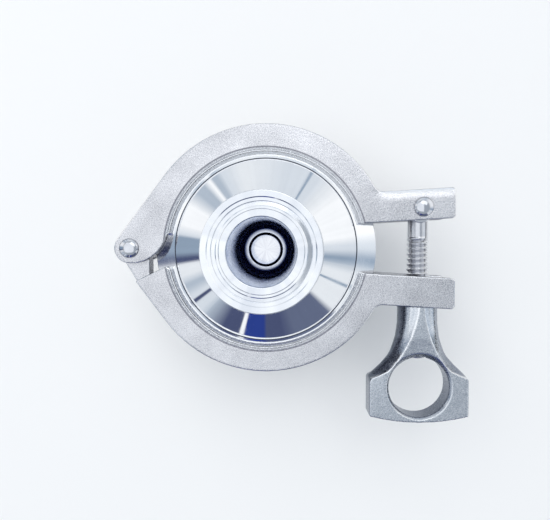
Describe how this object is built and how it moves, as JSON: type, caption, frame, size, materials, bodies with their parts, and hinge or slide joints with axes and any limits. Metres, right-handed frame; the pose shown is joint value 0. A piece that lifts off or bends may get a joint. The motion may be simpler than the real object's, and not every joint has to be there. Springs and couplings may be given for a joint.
{
  "type": "in-line check valve with hinged clamp",
  "caption": "In-line spring check valve: ferruled polished body halves round a sprung poppet, held together by a hinged jaw clamp with a swing bolt and a ring-shaped wing nut.",
  "frame": {"origin": "middle of the base of the bounding box, at the level of the outlet ferrule's face", "axes": "+Z along the valve's axis, against the flow, from the outlet ferrule to the inlet ferrule; +X from the clamp's hinge towards the swing bolt; +Y from the wing nut towards the bolt's pivot"},
  "size_m": [0.1242, 0.1046, 0.096],
  "materials": {
    "body_steel": "turned and mirror polished stainless steel",
    "poppet_steel": "fine turned stainless steel",
    "cast_steel": "bead blasted stainless casting",
    "nut_steel": "bead blasted stainless casting",
    "pin_steel": "polished domed heads",
    "bolt_steel": "bright rolled thread",
    "wire_steel": "bright drawn wire",
    "gasket_rubber": "matt off-white",
    "seal_rubber": "satin black",
    "bush_plastic": "machined white polymer"
  },
  "bodies": {
    "valve": {"inlet_body": "body_steel", "outlet_body": "body_steel", "body_gasket": "gasket_rubber", "guide_spider": "body_steel", "guide_bush": "bush_plastic", "return_spring": "wire_steel"},
    "poppet": {"poppet_head": "poppet_steel", "poppet_stem": "poppet_steel", "poppet_seal": "seal_rubber", "stem_clip": "wire_steel"},
    "upper_jaw": {"upper_jaw": "cast_steel", "hinge_pin": "pin_steel", "bolt_pin": "pin_steel"},
    "lower_jaw": {"lower_jaw": "cast_steel"},
    "swing_bolt": {"swing_bolt": "bolt_steel"},
    "nut_washer": {"nut_washer": "pin_steel"},
    "wing_nut": {"wing_nut": "nut_steel"}
  },
  "joints": [
    {"name": "poppet_lift", "type": "slide", "parent": "valve", "child": "poppet", "axis": [0, 0, -1], "range_m": [0, 0.004], "stiffness_N_per_m": 500, "springref_m": -0.006, "deforming": ["return_spring"]},
    {"name": "clamp_swivel", "type": "hinge", "parent": "valve", "child": "upper_jaw", "pos_m": [-0.0097, 0.00915, 0.048], "axis": [0, 0, 1], "continuous": true},
    {"name": "jaw_hinge", "type": "hinge", "parent": "upper_jaw", "child": "lower_jaw", "pos_m": [-0.0569, 0.0096, 0.048], "axis": [0, 0, -1], "range_deg": [0, 4.7]},
    {"name": "bolt_swing", "type": "hinge", "parent": "upper_jaw", "child": "swing_bolt", "pos_m": [0.0445, 0.0238, 0.048], "axis": [0, 0, 1], "range_deg": [0, 100]},
    {"name": "nut_travel", "type": "slide", "parent": "swing_bolt", "child": "nut_washer", "axis": [0, -1, 0], "range_m": [0, 0.009]},
    {"name": "nut_turn", "type": "hinge", "parent": "nut_washer", "child": "wing_nut", "pos_m": [0.0445, -0.01, 0.048], "axis": [0, -1, 0], "range_deg": [0, 1800]}
  ],
  "couplings": [
    {"joint": "nut_travel", "follows": "nut_turn", "m_per_rad": 0.000286},
    {"joint": "jaw_hinge", "follows": "nut_turn", "ratio": 0.0026}
  ]
}
